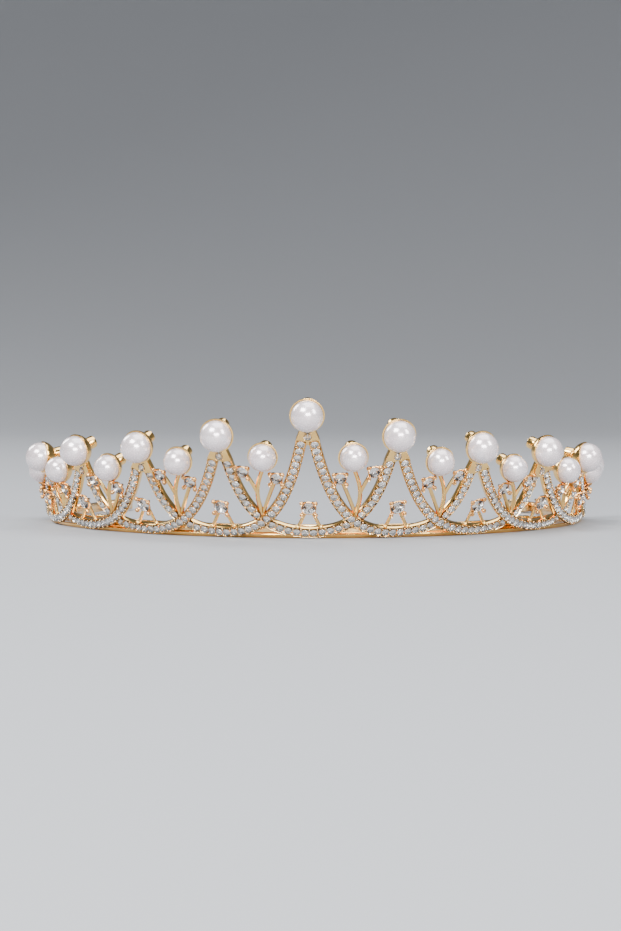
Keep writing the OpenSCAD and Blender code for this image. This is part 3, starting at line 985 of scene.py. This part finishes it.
def folded_sheet(length, half):
    """A sheet folded round the headband, which runs along Y, half wide on each side of it."""
    height = band_lift + band_width + clip_headroom + clip_sheet
    deselect()
    bpy.ops.mesh.primitive_plane_add(size=1, rotation=(math.pi / 2, 0, 0),
                                     location=(0, -length / 2, height / 2))
    fold = bpy.context.object
    fold.scale = (2 * half + clip_sheet, height - clip_sheet, 1)
    settle(fold)
    edit(fold, kind="VERT")
    bpy.ops.mesh.bevel(offset=clip_corner, segments=4, affect="VERTICES")
    bpy.ops.mesh.delete(type="ONLY_FACE")
    bpy.ops.mesh.select_all(action="SELECT")
    bpy.ops.mesh.extrude_region_move(TRANSFORM_OT_translate={"value": (0, length, 0)})
    close_up(fold)
    choose(fold, lambda face: face.center.x < -half)
    bpy.ops.mesh.subdivide(number_cuts=1)
    deselect()
    modify(fold, "SOLIDIFY", thickness=clip_sheet, offset=0)
    modify(fold, "BEVEL", width=clip_edge, segments=2, angle_limit=math.radians(50))
    return fold


def tongue_tab(start, end, width):
    deselect()
    bpy.ops.mesh.primitive_cube_add(size=1, location=((start + end) / 2, 0, tongue_height / 2))
    tab = bpy.context.object
    tab.scale = (end - start, width, tongue_height)
    settle(tab)
    modify(tab, "BEVEL", width=tongue_round, segments=3, angle_limit=math.radians(50))
    return tab


def stand(piece, spot, way):
    """Puts a piece at a spot, upright, with its x along a level way."""
    turn = Matrix((way, Vector((0, 0, 1)).cross(way), (0, 0, 1))).transposed()
    piece.matrix_world = Matrix.Translation(spot) @ turn.to_4x4()
    return settle(piece)


for name, clip_s, length, tongue in clip_places:
    for side, side_name in ((-1, "left"), (1, "right")):
        s = side * clip_s
        centre, radius = band_arc(s)
        away = base_at(s) - centre
        reach = away.dot(plan_out(s))
        gap = reach - math.sqrt(reach * reach - away.length_squared + radius * radius)
        middle = base_at(s) - gap * plan_out(s)
        half = band_depth / 2 + clip_gap
        fold = stand(folded_sheet(length, half), middle, (middle - centre).normalized())
        tab = tongue_tab(half + clip_sheet - tongue_bite, gap - rail_depth / 2 + tongue_lap, tongue)
        stand(tab, middle, plan_out(s))
        dress(join(f"{name}_{side_name}_folded", [fold, tab]), clip_gold, "gold_clip",
              f"{name}_{side_name}")


# Floor, lights and camera: a plain pale paper floor that curves up into a wall all round, soft
# studio light, and a camera in front of the crown just above the floor.
paper_flat, paper_curve, paper_wall, paper_steps = 0.8, 1.3, 1.5, 24
paper_middle = 0.95   # share of the flat part inside its outermost ring
wide = paper_flat + paper_curve
deselect()
bpy.ops.mesh.primitive_circle_add(vertices=96, radius=wide, location=(0, 0, paper_curve + paper_wall))
floor = settle(bpy.context.object)
edit(floor, kind="EDGE")
bpy.ops.mesh.extrude_region_move(TRANSFORM_OT_translate={"value": (0, 0, -paper_wall)})
for i in range(1, paper_steps + 1):
    turn, last_turn = (math.pi / 2 * (1 - j / paper_steps) for j in (i, i - 1))
    drop = paper_curve * (math.cos(last_turn) - math.cos(turn))
    narrower = (paper_flat + paper_curve * math.sin(turn)) / wide
    wide *= narrower
    bpy.ops.mesh.extrude_region_move(TRANSFORM_OT_translate={"value": (0, 0, drop)})
    bpy.ops.transform.resize(value=(narrower, narrower, 1), center_override=(0, 0, 0))
bpy.ops.mesh.extrude_region_move()
bpy.ops.transform.resize(value=(paper_middle, paper_middle, 1), center_override=(0, 0, 0))
bpy.ops.mesh.edge_face_add()
bpy.ops.mesh.select_all(action="SELECT")
bpy.ops.mesh.normals_make_consistent(inside=True)
deselect()
pick(floor)
bpy.ops.object.shade_smooth()
floor.name = "table_top"
paper, tree, shader = material_of("pale_paper")
shader.inputs["Base Color"].default_value = (0.29, 0.30, 0.32, 1)
shader.inputs["Roughness"].default_value = 0.6
floor.data.materials.append(paper)

world = bpy.data.worlds.new("studio")
bpy.context.scene.world = world
world.use_nodes = True
world.node_tree.nodes["Background"].inputs["Color"].default_value = (0.12, 0.125, 0.135, 1)
world.node_tree.nodes["Background"].inputs["Strength"].default_value = 1.0

aim = Vector((-0.0007, 0.035, 0.017))   # middle of the view


def softbox(name, where, size, power):
    deselect()
    bpy.ops.object.light_add(type="AREA", location=where)
    light = bpy.context.object
    light.name = name
    light.data.shape = "RECTANGLE"
    light.data.size, light.data.size_y = size
    light.data.energy = power
    light.visible_camera = False
    light.rotation_euler = (aim - light.location).to_track_quat("-Z", "Y").to_euler()


softbox("key", (-0.4, -0.55, 0.75), (0.5, 0.4), 20)
softbox("front", (0.15, -1.0, 0.3), (0.6, 0.3), 18)
softbox("overhead", (0.15, 0.1, 0.9), (0.8, 0.8), 10)
softbox("right_side", (0.8, -0.45, 0.6), (0.35, 0.5), 10)
softbox("left_back", (-0.75, 0.6, 0.65), (0.35, 0.5), 8)

focal_pixels, image_width = 1850, 621
film_width = 36
distance = 0.513
azimuth, elevation = math.radians(1.6), math.radians(3)
bpy.ops.object.camera_add()
camera = bpy.context.object
camera.data.sensor_fit = "HORIZONTAL"
camera.data.sensor_width = film_width
camera.data.lens = focal_pixels / image_width * film_width
camera.data.clip_start, camera.data.clip_end = 0.01, 50
camera.location = aim + distance * Vector((
    math.sin(azimuth) * math.cos(elevation), -math.cos(azimuth) * math.cos(elevation), math.sin(elevation)))
camera.rotation_euler = (aim - camera.location).to_track_quat("-Z", "Y").to_euler()
bpy.context.scene.camera = camera
